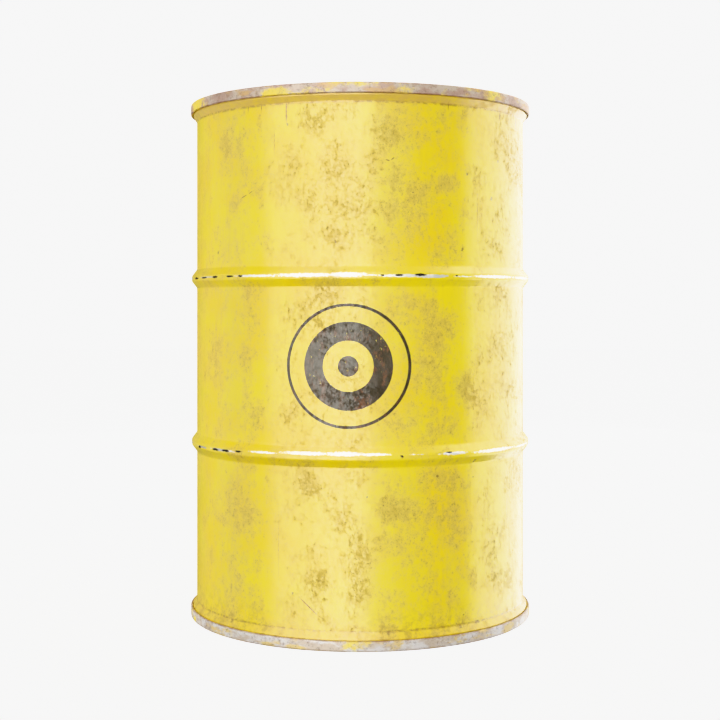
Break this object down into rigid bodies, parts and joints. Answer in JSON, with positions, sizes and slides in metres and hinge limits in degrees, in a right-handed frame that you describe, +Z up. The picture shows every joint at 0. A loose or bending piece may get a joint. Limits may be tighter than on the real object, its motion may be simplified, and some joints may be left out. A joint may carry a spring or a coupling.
{
  "type": "closed-head steel drum",
  "caption": "Weathered yellow closed-head steel drum with rolling hoops, double-seamed chimes, and a bung and a vent plug that screw into its top head.",
  "frame": {"origin": "centre of the ring on the bottom chime that the drum stands on", "axes": "+Z up along the drum's axis, -Y the front, +X towards the large bung"},
  "size_m": [0.5968, 0.5968, 0.889],
  "materials": {
    "yellow_paint": "worn semi-gloss yellow enamel, faded and dirty, rubbed to grey and rusty metal on the chimes and hoop crests",
    "zinc_steel": "dull zinc plating with brown rust freckles",
    "gasket_rubber": "aged black rubber",
    "seam_rubber": "dried brown sealing compound"
  },
  "bodies": {
    "drum": {"body_shell": "yellow_paint", "top_head": "yellow_paint", "bottom_head": "yellow_paint", "top_seam_compound": "seam_rubber", "bottom_seam_compound": "seam_rubber", "bung_flange": "zinc_steel", "bung_flange_gasket": "gasket_rubber", "vent_flange": "zinc_steel", "vent_flange_gasket": "gasket_rubber"},
    "bung_riser": {"bung_plug_gasket": "gasket_rubber"},
    "bung": {"bung_plug": "zinc_steel"},
    "vent_riser": {"vent_plug_gasket": "gasket_rubber"},
    "vent": {"vent_plug": "zinc_steel"}
  },
  "joints": [
    {"name": "bung_rise", "type": "slide", "parent": "drum", "child": "bung_riser", "axis": [0, 0, 1], "range_m": [0, 0.011]},
    {"name": "bung_turn", "type": "hinge", "parent": "bung_riser", "child": "bung", "pos_m": [0.21838, 0, 0.88], "axis": [0, 0, 1], "range_deg": [0, 1710]},
    {"name": "vent_rise", "type": "slide", "parent": "drum", "child": "vent_riser", "axis": [0, 0, 1], "range_m": [0, 0.011]},
    {"name": "vent_turn", "type": "hinge", "parent": "vent_riser", "child": "vent", "pos_m": [-0.21838, 0, 0.88], "axis": [0, 0, 1], "range_deg": [0, 2160]}
  ],
  "couplings": [
    {"joint": "bung_rise", "follows": "bung_turn", "m_per_rad": 0.00036749},
    {"joint": "vent_rise", "follows": "vent_turn", "m_per_rad": 0.00028871}
  ]
}
